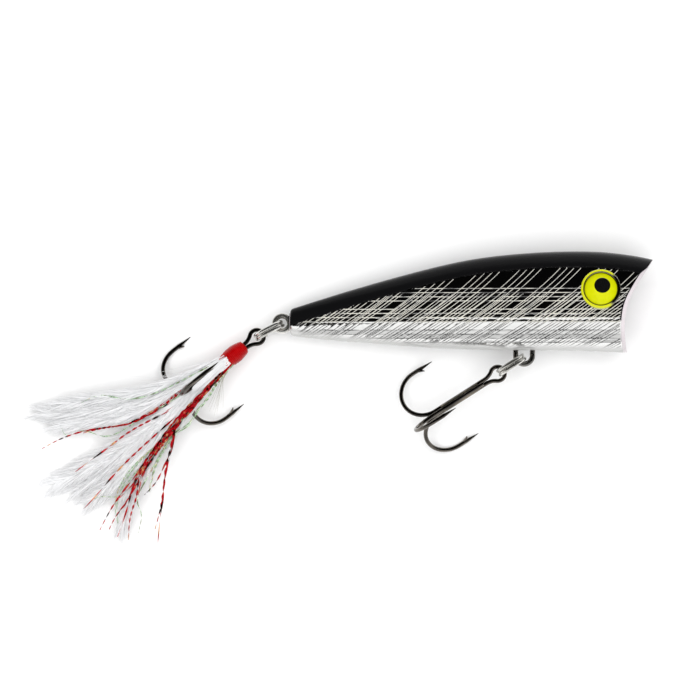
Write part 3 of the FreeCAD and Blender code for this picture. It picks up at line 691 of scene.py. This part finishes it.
def eye_ring(side, name):
    """The painted bead around one eye, with its wall down to the flank."""
    steps, radius, bead = 128, 3.17, 0.33
    inner_wall = [(2.83, -0.6), (2.83, -0.3)]
    outer_wall = [(3.5, -0.25), (3.52, -0.7)]
    arc = np.linspace(0.15, math.pi, 18)
    top = [(radius - bead * math.cos(a), bead * math.sin(a)) for a in arc]
    profile = inner_wall + top + outer_wall
    turn = np.linspace(0, 2 * math.pi, steps, endpoint=False)
    r = np.array([p[0] for p in profile])[:, None] * np.ones(steps)
    h = np.array([p[1] for p in profile])[:, None] * np.ones(steps)
    local = np.stack([r * np.cos(turn), r * np.sin(turn), side * h], axis=-1).reshape(-1, 3)
    # The paint misses the outside of the bead on the nose's side, and the painted shade in the groove reaches
    # widest there.
    facing = np.cos(turn + math.radians(5)) + 0.02 * np.sin(9 * turn)
    unpainted_rows = 9
    paint = (1 - smoothstep(0.52, 0.72, facing))[None, :] * np.ones((len(profile), 1))
    paint[:unpainted_rows] = 0.0
    reach = 2.5 + 4.0 * np.clip(np.cos(turn + math.radians(10)), 0, 1)
    painted_groove_shade = 1 - smoothstep(0.0, 1.5, np.arange(len(profile))[:, None] - reach[None, :])
    faces = grid_faces(len(profile), steps, closed=True, flip=side < 0)
    attributes = {"paint": paint.ravel(), "painted_groove_shade": painted_groove_shade.ravel()}
    verts = to_row(from_eye(local, side))
    mesh_piece(name, verts, faces, "lure_body", ring_paint, attributes)


def pupil(side, name):
    """A glossy black spot that follows the eye's dome."""
    radius, edge, dome = 2.8, 0.05, 0.8
    ahead, above = 0.25, 0.5
    rise = dome + edge
    sphere = (radius**2 + rise**2) / (2 * rise)
    rings, steps, size = 18, 72, 1.4
    share = np.linspace(0, 1, rings) ** 0.8
    turn = np.linspace(0, 2 * math.pi, steps, endpoint=False)
    x = ahead + size * share[:, None] * np.cos(turn)
    y = above + size * share[:, None] * np.sin(turn)
    proud = 0.06 * np.sqrt(np.clip(1 - share**4, 0, 1))[:, None] + 0.004
    z = np.sqrt((sphere + proud) ** 2 - x**2 - y**2) + dome - sphere
    local = np.stack([x, y, side * z], axis=-1).reshape(-1, 3)
    faces = grid_faces(rings, steps, closed=True, flip=side < 0)[steps:]
    fan = [(0, steps + j, steps + (j + 1) % steps) for j in range(steps)]
    if side < 0:
        fan = [f[::-1] for f in fan]
    points = to_row(from_eye(local, side))
    keep = np.concatenate([[0], np.arange(steps, len(points))])
    renumber = np.full(len(points), -1)
    renumber[keep] = np.arange(len(keep))
    every = [tuple(renumber[list(f)]) for f in fan] + [tuple(renumber[f]) for f in faces]
    mesh_piece(name, points[keep], every, "lure_body", pupil_black)


# ---------------------------------------------------------------- the thread wrap


def thread_wrap():
    """Turns of thread laid side by side over the shanks, with loose ends at the rear."""
    start, end, pitch = 4.3, 8.4, 0.3
    rows, steps = 150, 120
    s = np.linspace(0, 1, rows)
    radius = spline([0.0, 0.5854, 1.0], [1.1, 1.6, 1.4])(s)
    to_end = np.minimum(s, 1 - s) * (end - start)
    radius = radius - 0.35 * (1 - smoothstep(0.0, 0.3, to_end)) ** 2
    turn = np.linspace(0, 2 * math.pi, steps, endpoint=False)
    along = start + s[:, None] * (end - start)
    phase = along / pitch - turn[None, :] / (2 * math.pi)
    ridge = np.sqrt(np.abs(np.sin(math.pi * phase)))
    crossing = np.abs(np.sin(math.pi * (along / 1.3 + 2 * turn[None, :] / (2 * math.pi) + 0.2)))
    r = radius[:, None] + 0.075 * ridge - 0.06 + 0.045 * (1 - smoothstep(0.0, 0.18, crossing))
    lumps = 0.03 * np.sin(3 * turn + 5 * s[:, None])
    r = r + lumps * smoothstep(0.3, 1.0, s)[:, None]
    points = np.stack([along + 0 * turn, r * np.cos(turn), r * np.sin(turn) + SHANK_HEIGHT], axis=-1)
    points = points.reshape(-1, 3)
    made = Strands()
    made.add(points, grid_faces(rows, steps, closed=True), np.repeat(s, steps), 1.0)
    # The tint is painted shade: low in the grooves between the turns, high on the turns.
    made.tint[-1] = (0.05 + 0.95 * ridge).ravel()
    hub_share, hub_tint = 0.35, 0.7
    for row in (0, rows - 1):
        place = points[row * steps : (row + 1) * steps]
        middle = place.mean(axis=0)
        hub = middle + (place - middle) * hub_share
        faces = grid_faces(2, steps, closed=True, flip=row == 0)
        made.add(np.vstack([place, hub]), faces, np.zeros(2 * steps), hub_tint)
    ends, samples = 15, 8
    for k in range(ends):
        angle = 2 * math.pi * (k + rng.uniform(-0.3, 0.3)) / ends
        out = np.array([0, math.cos(angle), math.sin(angle)])
        swirl = np.array([0, -math.sin(angle), math.cos(angle)])
        reach = rng.uniform(0.25, 1.0)
        base = np.array([end - 0.3, 0, SHANK_HEIGHT]) + out * 1.3
        tip = base + [0.35 + reach, 0, 0] + swirl * rng.uniform(-0.3, 0.5) - out * 0.1
        path = curve_through([base, base + [0.35, 0, 0] + swirl * 0.1, tip], samples)
        made.thread(path, np.linspace(0.085, 0.05, samples), 6, 0.9)
    return made.piece("thread_wrap_turns", "tail_hook", red_thread)


# ---------------------------------------------------------------- the dressing
# Paths run from the wrap to the tip: along the shank, sideways and height, in the tail treble's frame.

ROOT = 8.0
FALL = 2.1
FALL_LENGTH = 36.0


def height_at(s, low, root):
    """How high a strand lies: level out of the wrap, then falling to the surface."""
    share = np.clip((np.asarray(s, float) - ROOT) / FALL_LENGTH, 0, 1.15)
    return root + (low - root) * share**FALL


def laid(points, low, root):
    """Give a plan path its heights."""
    return np.array([(s, l, height_at(s, low, root)) for s, l in points])


OPEN_FROM = 0.1


def feather(made, plan, width, low, root, barbs, seed):
    """A quill with soft barbs sweeping back on both sides and past its tip."""
    draw = np.random.default_rng(seed)
    count = 60
    path = curve_through(laid(plan, low, root), count)
    ahead = np.gradient(path, axis=0)
    ahead /= np.linalg.norm(ahead, axis=1)[:, None]
    side = np.cross([0, 0, 1.0], ahead)
    side /= np.linalg.norm(side, axis=1)[:, None]
    made.thread(path, np.linspace(0.17, 0.03, count), 6, 0.75)
    length = np.linalg.norm(np.diff(path, axis=0), axis=1).sum()
    points = 9
    u = np.linspace(0, 1, points)
    for k in range(barbs):
        t = OPEN_FROM + (0.97 - OPEN_FROM) * (k + draw.uniform()) / barbs
        i = min(int(t * (count - 1)), count - 2)
        hand = 1 if k % 2 else -1
        opening = smoothstep(OPEN_FROM - 0.05, 0.42, t)
        fullness = opening * (0.75 + 0.25 * (1 - smoothstep(0.75, 1.0, t)))
        reach = width * fullness * draw.uniform(0.45, 1.08)
        if draw.uniform() < 0.04:
            reach *= 1.45
        shorter = 1.0 - 0.45 * smoothstep(0.7, 1.0, t)
        run = draw.uniform(0.16, 0.27) * length * (0.6 + 0.4 * fullness) * shorter
        ahead_by = u * run / length * (count - 1)
        steps = np.clip(i + np.round(ahead_by).astype(int), 0, count - 1)
        beyond = np.clip(i + ahead_by - (count - 1), 0, None) * length / (count - 1)
        lean = draw.uniform(0.75, 1.35)
        line = path[steps] + ahead[-1] * beyond[:, None]
        fraction = (i + ahead_by) - steps
        line += ahead[steps] * (np.where(steps < count - 1, fraction, 0)[:, None] * length / (count - 1))
        line += side[steps] * (hand * reach * u**lean)[:, None]
        lift = draw.uniform(-0.25, 0.75) * math.sin(0.8 * math.pi * min(t + 0.1, 1.0)) + 0.15
        line[:, 2] += lift * np.sin(math.pi * u * 0.75) - 0.15 * u * draw.uniform(0, 1)
        wave = draw.uniform(-0.18, 0.18)
        line += side[steps] * (wave * np.sin(math.pi * 1.7 * u))[:, None]
        roll = draw.uniform(-0.9, 0.9)
        cross = side[steps] * math.cos(roll) + np.array([0, 0, 1.0]) * math.sin(roll)
        wide = draw.uniform(0.1, 0.2) * (1 - u**2.2 * 0.85)
        made.ribbon(line, wide, cross, draw.uniform(0, 1))


def veil(made, plan, half, root, count, seed):
    """A thin layer of soft barbs laid over the shanks just behind the wrap."""
    draw = np.random.default_rng(seed)
    points = 12
    base = curve_through([(s, l, root - 0.05 * (s - ROOT)) for s, l in plan], 40)
    u = np.linspace(0, 1, points)
    for _ in range(count):
        first, last = draw.uniform(0, 12), draw.uniform(24, 39)
        line = base[np.round(first + (last - first) * u).astype(int)]
        line[:, 1] += half * draw.uniform(-1, 1) * (0.6 + 0.4 * u) + 0.06 * np.sin(5 * u + draw.uniform(0, 6))
        line[:, 2] += draw.uniform(-0.08, 0.08) + 0.1 * np.sin(math.pi * u)
        roll = draw.uniform(-0.5, 0.5)
        cross = np.array([0.0, math.cos(roll), math.sin(roll)])[None, :] * np.ones((points, 1))
        made.ribbon(line, draw.uniform(0.1, 0.18) * (1 - 0.8 * u**2.5), cross, draw.uniform(0, 1))


def loose_fibres(made, plan, low, root, count, scatter, seed):
    """A few long stray fibres along a path."""
    draw = np.random.default_rng(seed)
    samples, thick, raised = 22, 0.05, 0.2
    for _ in range(count):
        offset = draw.normal(0, scatter, 3) * np.array([0.4, 1.0, 0.3])
        path = curve_through(laid(plan, low, root), samples)
        grow = np.linspace(0, 1, samples)[:, None] ** 1.4
        path = path + offset * grow
        path[:, 2] += raised
        made.thread(path, np.linspace(thick, thick * 0.35, samples), 5, draw.uniform(0.2, 1))


def tinsel(made, plan, low, root, width, twists, seed, wander=0.12, lift=0.55, rise=(0.0, 0.25)):
    """A twisting strip of metallic film."""
    draw = np.random.default_rng(seed)
    base = laid(plan, low, root)
    count = max(40, len(base) * 18)
    path = curve_through(base, count)
    run = np.linspace(0, 1, count)
    ahead = np.gradient(path, axis=0)
    ahead /= np.linalg.norm(ahead, axis=1)[:, None]
    side = np.cross([0, 0, 1.0], ahead)
    side /= np.linalg.norm(side, axis=1)[:, None]
    first, second = draw.uniform(0, 6.28, 2)
    path = path + side * (wander * np.sin(9 * run + first) * smoothstep(0.02, 0.3, run))[:, None]
    path[:, 2] += lift * smoothstep(*rise, run) + 0.12 * np.sin(7 * run + second)
    normal = np.cross(ahead, side)
    angle = 0.62 * twists * 2 * math.pi * (run + 0.06 * np.sin(11 * run + first)) + second
    cross = side * np.cos(angle)[:, None] + normal * np.sin(angle)[:, None]
    taper = 1 - 0.55 * smoothstep(0.8, 1.0, run)
    made.ribbon(path, width * taper, cross, draw.uniform(0, 1))


def piece_of(name, replaced, material, fill):
    """One mesh of strands that stands in for a CAD node."""
    made = Strands()
    fill(made)
    shown = made.piece(name, "tail_hook", material)
    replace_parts(shown, replaced)


def build_hackles():
    few = 1.0

    def n(count):
        return int(count * few)

    def top(made):
        plan = [
            (8.0, -0.9), (12.3, -1.5), (17.0, -2.3), (24.0, -3.9),
            (32.0, -7.9), (37.6, -12.0), (40.2, -14.1),
        ]
        feather(made, plan, 1.9, -7.3, 0.2, n(620), 11)
        plan = [(8.0, -1.0), (12.5, -1.9), (18.0, -3.1), (24.5, -5.4), (31.0, -9.3), (36.5, -12.6)]
        feather(made, plan, 1.5, -6.6, 0.5, n(420), 12)
        loose_fibres(made, [(14.0, -2.4), (19.0, -4.2), (23.2, -7.0)], -6.0, 0.6, 3, 0.5, 13)
        loose_fibres(made, [(18.0, -3.2), (24.4, -6.3), (30.2, -10.7)], -6.4, 0.6, 4, 0.45, 14)
        loose_fibres(made, [(10.5, -1.4), (15.0, -3.6), (19.5, -5.4)], -5.0, 0.6, 3, 0.4, 15)

    def upper(made):
        plan = [
            (8.0, -0.7), (13.0, -1.1), (19.0, -1.7), (26.0, -2.9),
            (32.0, -5.6), (36.6, -8.4), (39.6, -10.6),
        ]
        feather(made, plan, 1.7, -7.3, 0.45, n(520), 21)

    def middle(made):
        plan = [
            (8.0, -0.3), (13.1, -0.3), (18.0, 0.2), (25.0, 0.7),
            (33.0, 0.4), (40.0, -1.0), (46.2, -2.5),
        ]
        feather(made, plan, 2.3, -7.9, 0.7, n(720), 31)
        plan = [(8.0, -0.1), (13.0, 0.2), (19.0, 1.0), (27.0, 1.8), (36.0, 1.6), (44.2, 0.7)]
        feather(made, plan, 1.7, -8.0, 0.55, n(420), 32)
        veil(made, [(7.9, 0.0), (9.5, -0.05), (11.6, -0.1)], 0.55, 1.5, n(110), 33)
        veil(made, [(7.9, 0.6), (11.0, 0.75), (15.5, 0.9)], 0.5, 1.25, n(150), 34)
        veil(made, [(9.0, 0.1), (13.0, 0.3), (17.4, 0.45)], 0.45, 1.75, n(150), 36)
        veil(made, [(7.9, -0.7), (12.0, -0.95), (17.0, -1.3)], 0.4, 0.95, n(90), 35)

    def lower(made):
        plan = [(8.0, 0.3), (13.0, 0.5), (19.0, 1.6), (26.0, 2.6), (33.0, 3.5), (39.0, 3.9), (43.4, 3.9)]
        feather(made, plan, 2.1, -8.0, 0.7, n(560), 41)

    def bottom(made):
        plan = [(8.0, 0.8), (14.8, 1.8), (21.7, 3.7), (28.6, 5.3), (34.5, 7.4), (38.2, 9.5), (41.4, 11.6)]
        feather(made, plan, 1.25, -8.2, 0.6, n(520), 51)
        plan = [(8.0, 0.7), (15.0, 1.6), (22.0, 3.2), (29.5, 4.9), (35.5, 6.3), (38.8, 7.8)]
        feather(made, plan, 1.1, -8.2, 0.5, n(360), 52)

    fills = {"top": top, "upper": upper, "middle": middle, "lower": lower, "bottom": bottom}
    for part, fill in fills.items():
        piece_of(f"hackle_{part}_feather", f"hackle_{part}", white_feather, fill)


def build_tinsel():
    """Red film above and below the hackle, with a few curls of pearl film."""
    low, root = -7.0, 1.0
    bundle = [
        (8.0, 0.9), (13.1, 1.5), (16.9, 2.3), (20.4, 2.9),
        (22.5, 3.3), (25.5, 4.0), (29.2, 4.9), (32.6, 6.0),
    ]
    tips = [
        [(38.2, 6.9), (41.5, 8.1), (44.3, 9.3)],
        [(37.8, 8.4), (40.3, 9.1), (43.0, 10.3)],
        [(37.9, 9.0), (42.8, 12.0)],
        [(35.5, 8.7), (38.3, 10.7), (41.5, 13.9)],
    ]

    def above(made):
        plan = [
            (8.0, -0.6), (13.4, -0.9), (16.5, -1.2), (19.5, -0.9),
            (22.4, -0.8), (25.2, -1.2), (28.9, -2.1),
        ]
        plan += [(32.3, -4.0), (36.1, -6.1), (40.1, -7.5), (43.5, -8.2)]
        for k in range(3):
            shifted = [(s, l + 0.16 * (k - 1)) for s, l in plan[: 9 if k else 11]]
            tinsel(made, shifted, low, 0.35, 0.32, 15 + 2 * k, 60 + k, lift=1.1, rise=(0.3, 0.6))
        plan = [
            (8.0, -0.4), (16.9, 0.1), (22.4, 0.5), (25.2, 0.1),
            (30.0, -0.8), (33.8, -1.1), (38.8, -1.5), (41.4, -1.6),
        ]
        tinsel(made, plan, low, 0.35, 0.34, 13, 64, lift=1.1, rise=(0.3, 0.55))
        plan = [(8.0, 0.4), (18.3, 1.8), (28.4, 2.7), (34.8, 3.1), (38.2, 3.5), (41.4, 4.0), (44.6, 4.4)]
        tinsel(made, plan, low, 0.4, 0.34, 12, 66, lift=1.1, rise=(0.25, 0.5))

    def below(made):
        for k in range(8):
            ending = tips[k % 4]
            shift = 0.17 * (k - 3.5)
            plan = [(s, l + shift * float(smoothstep(9, 27, s))) for s, l in bundle] + ending
            if k >= 4:
                plan = plan[: 8 + (k % 3)]
            tinsel(made, plan, low, root, 0.36, 12 + k % 5, 70 + k, wander=0.16, lift=0.6 + 0.06 * k)
        right = [(8.0, 1.0), (16.9, 2.4), (22.5, 3.4), (25.3, 5.7), (29.1, 8.7), (31.6, 11.2), (34.2, 13.6)]
        tinsel(made, right + [(36.7, 15.4)], low, root, 0.36, 12, 81, lift=0.8)
        tinsel(made, right + [(38.1, 17.7)], low, root, 0.4, 11, 82, lift=0.85)
        tinsel(made, right[:4] + [(28.9, 7.8), (31.6, 9.1), (34.5, 9.6)], low, root, 0.34, 10, 83, lift=0.8)

    def pearl(made):
        curls = [
            [
                (8.0, -0.6), (15.0, -1.6), (21.5, -3.2), (27.4, -6.7),
                (29.2, -8.7), (31.7, -9.9), (33.9, -10.2),
            ],
            [
                (8.0, -0.2), (20.0, -0.4), (29.4, -1.6), (33.8, -3.4),
                (35.9, -6.4), (37.7, -7.1), (38.7, -8.0), (38.4, -9.1),
            ],
            [
                (8.0, 1.1), (12.5, 2.1), (15.6, 3.1), (18.5, 3.7), (20.5, 4.5),
                (23.2, 4.4), (26.3, 5.2), (29.4, 6.5), (33.5, 9.3),
            ],
            [(8.0, 0.9), (20.5, 3.2), (29.2, 5.0), (35.4, 6.0), (38.1, 6.8), (40.7, 4.8), (42.2, 4.1)],
            [(8.0, 1.0), (20.5, 3.4), (33.3, 7.7), (36.5, 10.0), (36.8, 11.2), (38.3, 13.1), (39.5, 14.0)],
            [
                (8.0, 0.8), (20.5, 3.0), (29.5, 4.0), (34.2, 4.6),
                (36.8, 5.6), (38.8, 6.8), (40.2, 8.4), (41.3, 10.3),
            ],
        ]
        for k, plan in enumerate(curls):
            for twin in range(2 if k in (2, 5) else 1):
                shifted = [(s, l + 0.25 * twin) for s, l in plan]
                tinsel(made, shifted, low - 0.2, root - 0.1, 0.24, 11 + 2 * k, 90 + 3 * k + twin, lift=0.5)

    piece_of("red_tinsel_upper_strands", "red_tinsel_upper", red_film, above)
    piece_of("red_tinsel_lower_strands", "red_tinsel_lower", red_film, below)
    piece_of("pearl_tinsel_strands", "pearl_tinsel", pearl_film, pearl)


def build_collar():
    """Short pale fibres behind the wrap."""
    def fill(made):
        tips = [
            (16.0, 4.3), (16.4, 5.1), (16.2, 6.2), (15.7, 6.3), (15.1, 5.6),
            (14.2, 6.2), (13.9, 5.2), (14.8, 4.9), (15.6, 5.3),
        ]
        for k, (s, l) in enumerate(tips):
            plan = [(8.0, 1.0), (10.5, 1.6 + 0.05 * k), (0.5 * (10.5 + s), 0.5 * (1.6 + l)), (s, l)]
            path = curve_through([(a, b, 0.1 - 0.16 * (a - 8.0)) for a, b in plan], 18)
            made.thread(path, np.linspace(0.045, 0.018, 18), 5, (k % 4) / 4)

    piece_of("collar_fibre_strands", "collar_fibres", pale_fibre, fill)


# ---------------------------------------------------------------- put it together

plating_skin = plating_material()
ring_paint = eye_ring_material()
pupil_black = pupil_material()
red_thread = thread_material()
white_feather = feather_material("white_hackle", (0.7, 0.705, 0.715, 1), (0.95, 0.95, 0.96, 1))
pale_fibre = feather_material("pale_fibre", (0.4, 0.39, 0.35, 1), (0.72, 0.71, 0.66, 1))
# The red film's near-black and orange-gold bands are painted dark reflection and painted glint; the red is
# its own colour.
red_film = tinsel_material(
    "red_film", ((0.03, 0.002, 0.0, 1), (0.58, 0.004, 0.012, 1), (0.85, 0.42, 0.2, 1)), 0.45, 0.14, 0.28
)
pearl_film = tinsel_material(
    "pearl_film", ((0.35, 0.45, 0.22, 1), (0.6, 0.85, 0.55, 1), (0.9, 0.82, 0.5, 1)), 0.6, 0.2, 0.35
)

CAD_FINISH = {
    "right_body_half": shell_material(),
    "right_eye": eye_material(),
    "tail_eye": metal("bright_nickel", (0.55, 0.54, 0.5, 1), (0.88, 0.87, 0.84, 1), 0.1, 0.24, metallic=0.92),
    "belly_hanger": metal("dark_steel", (0.12, 0.12, 0.11, 1), (0.34, 0.33, 0.31, 1), 0.22, 0.4),
    "belly_hook_double": metal("black_nickel", (0.07, 0.066, 0.06, 1), (0.2, 0.18, 0.155, 1), 0.1, 0.2),
    "belly_hook_braze": metal("dulled_braze", (0.1, 0.09, 0.07, 1), (0.26, 0.22, 0.16, 1), 0.25, 0.4),
    "tail_ballast": metal("plain_steel", (0.3, 0.3, 0.3, 1), (0.5, 0.5, 0.5, 1), 0.25, 0.4),
}
SAME_FINISH = {
    "left_body_half": "right_body_half",
    "left_eye": "right_eye",
    "line_tie": "tail_eye",
    "belly_split_ring": "tail_eye",
    "tail_split_ring": "tail_eye",
    "belly_hook_single": "belly_hook_double",
    "tail_hook_double": "belly_hook_double",
    "tail_hook_single": "belly_hook_double",
    "tail_hook_braze": "belly_hook_braze",
    "rattle_ball_1": "tail_ballast",
    "rattle_ball_2": "tail_ballast",
    "rattle_ball_3": "tail_ballast",
}
for label in list(CAD_FINISH) + list(SAME_FINISH):
    finish = CAD_FINISH[SAME_FINISH.get(label, label)]
    for index in range(len(nodes[label].material_slots)):
        nodes[label].material_slots[index].material = finish

for side, word in ((1, "right"), (-1, "left")):
    plating(side, f"{word}_plating")
    eye_ring(side, f"{word}_eye_ring")
    pupil(side, f"{word}_pupil")
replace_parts(thread_wrap(), "thread_wrap")
build_hackles()
build_tinsel()
build_collar()

# ---------------------------------------------------------------- floor, light and camera

VIEW_X, VIEW_Y = 0.0021, 0.0088
VIEW_WIDTH = 0.1232
VIEW_LEVEL = 0.008
LENS = 180.0
SENSOR = 36.0

bpy.ops.mesh.primitive_plane_add(size=3.0, location=(VIEW_X, VIEW_Y, -0.0001))
floor = bpy.context.active_object
floor.name = "floor"
floor.data.materials.append(floor_material())

camera = bpy.data.objects.new("camera", bpy.data.cameras.new("camera"))
camera.data.lens = LENS
camera.data.sensor_width = SENSOR
camera.data.clip_start = 0.01
camera.location = (VIEW_X, VIEW_Y, VIEW_LEVEL + VIEW_WIDTH * LENS / SENSOR)
bpy.context.scene.collection.objects.link(camera)
bpy.context.scene.camera = camera

OVERHEAD_HEIGHT, OVERHEAD_SIZE, OVERHEAD_POWER = 1.6, 2.2, 40.0

light = bpy.data.lights.new("overhead", "AREA")
light.shape = "RECTANGLE"
light.size = light.size_y = OVERHEAD_SIZE
light.energy = OVERHEAD_POWER
overhead = bpy.data.objects.new("overhead", light)
overhead.location = (0.0, 0.0, OVERHEAD_HEIGHT)
overhead.visible_glossy = False
bpy.context.scene.collection.objects.link(overhead)

# Where the walls begin, as a tilt from straight up in degrees: below zero on the near side.
NEAR_WALL = (-37, -34)
NEAR_WALL_FADE = (-90, -38)
NEAR_WALL_LEVELS = (0.62, 1.1)
FAR_WALL = (78, 90)
FAR_WALL_LEVEL = 0.1
OVERHEAD_BAND = 0.002
# How bright it is for matt surfaces, and how much brighter behind the lure.
MATT_LEVEL = 0.3
BACKDROP_EXTRA = 0.68


def studio():
    """White walls low on both sides and a dark band overhead, seen in gloss only; even white elsewhere."""
    world = bpy.data.worlds.new("studio")
    world.use_nodes = True
    made = Nodes(world.node_tree)
    _, y, z = made.split(made.place("Generated"))
    tilt = made.math("ARCTAN2", y, z)
    near_wall = made.ramp(tilt, *np.radians(NEAR_WALL), 1.0, 0.0)
    far_wall = made.ramp(tilt, *np.radians(FAR_WALL), 0.0, FAR_WALL_LEVEL)
    fade = made.ramp(tilt, *np.radians(NEAR_WALL_FADE), *NEAR_WALL_LEVELS)
    walls = made.math("ADD", made.math("MULTIPLY", near_wall, fade), far_wall)
    walls = made.math("ADD", walls, OVERHEAD_BAND)
    ray = made.tree.nodes.new("ShaderNodeLightPath").outputs
    gloss = ray["Is Glossy Ray"]
    backdrop = made.math("MULTIPLY", ray["Is Camera Ray"], BACKDROP_EXTRA)
    matt = made.math("ADD", backdrop, MATT_LEVEL)
    matt = made.math("MULTIPLY", made.math("SUBTRACT", 1.0, gloss), matt)
    background = made.tree.nodes["Background"]
    level = made.math("ADD", made.math("MULTIPLY", walls, gloss), matt)
    made.put(level, background.inputs["Strength"])
    made.put((1.0, 1.0, 1.0, 1.0), background.inputs["Color"])
    bpy.context.scene.world = world


studio()
bpy.context.scene.view_settings.view_transform = "Standard"
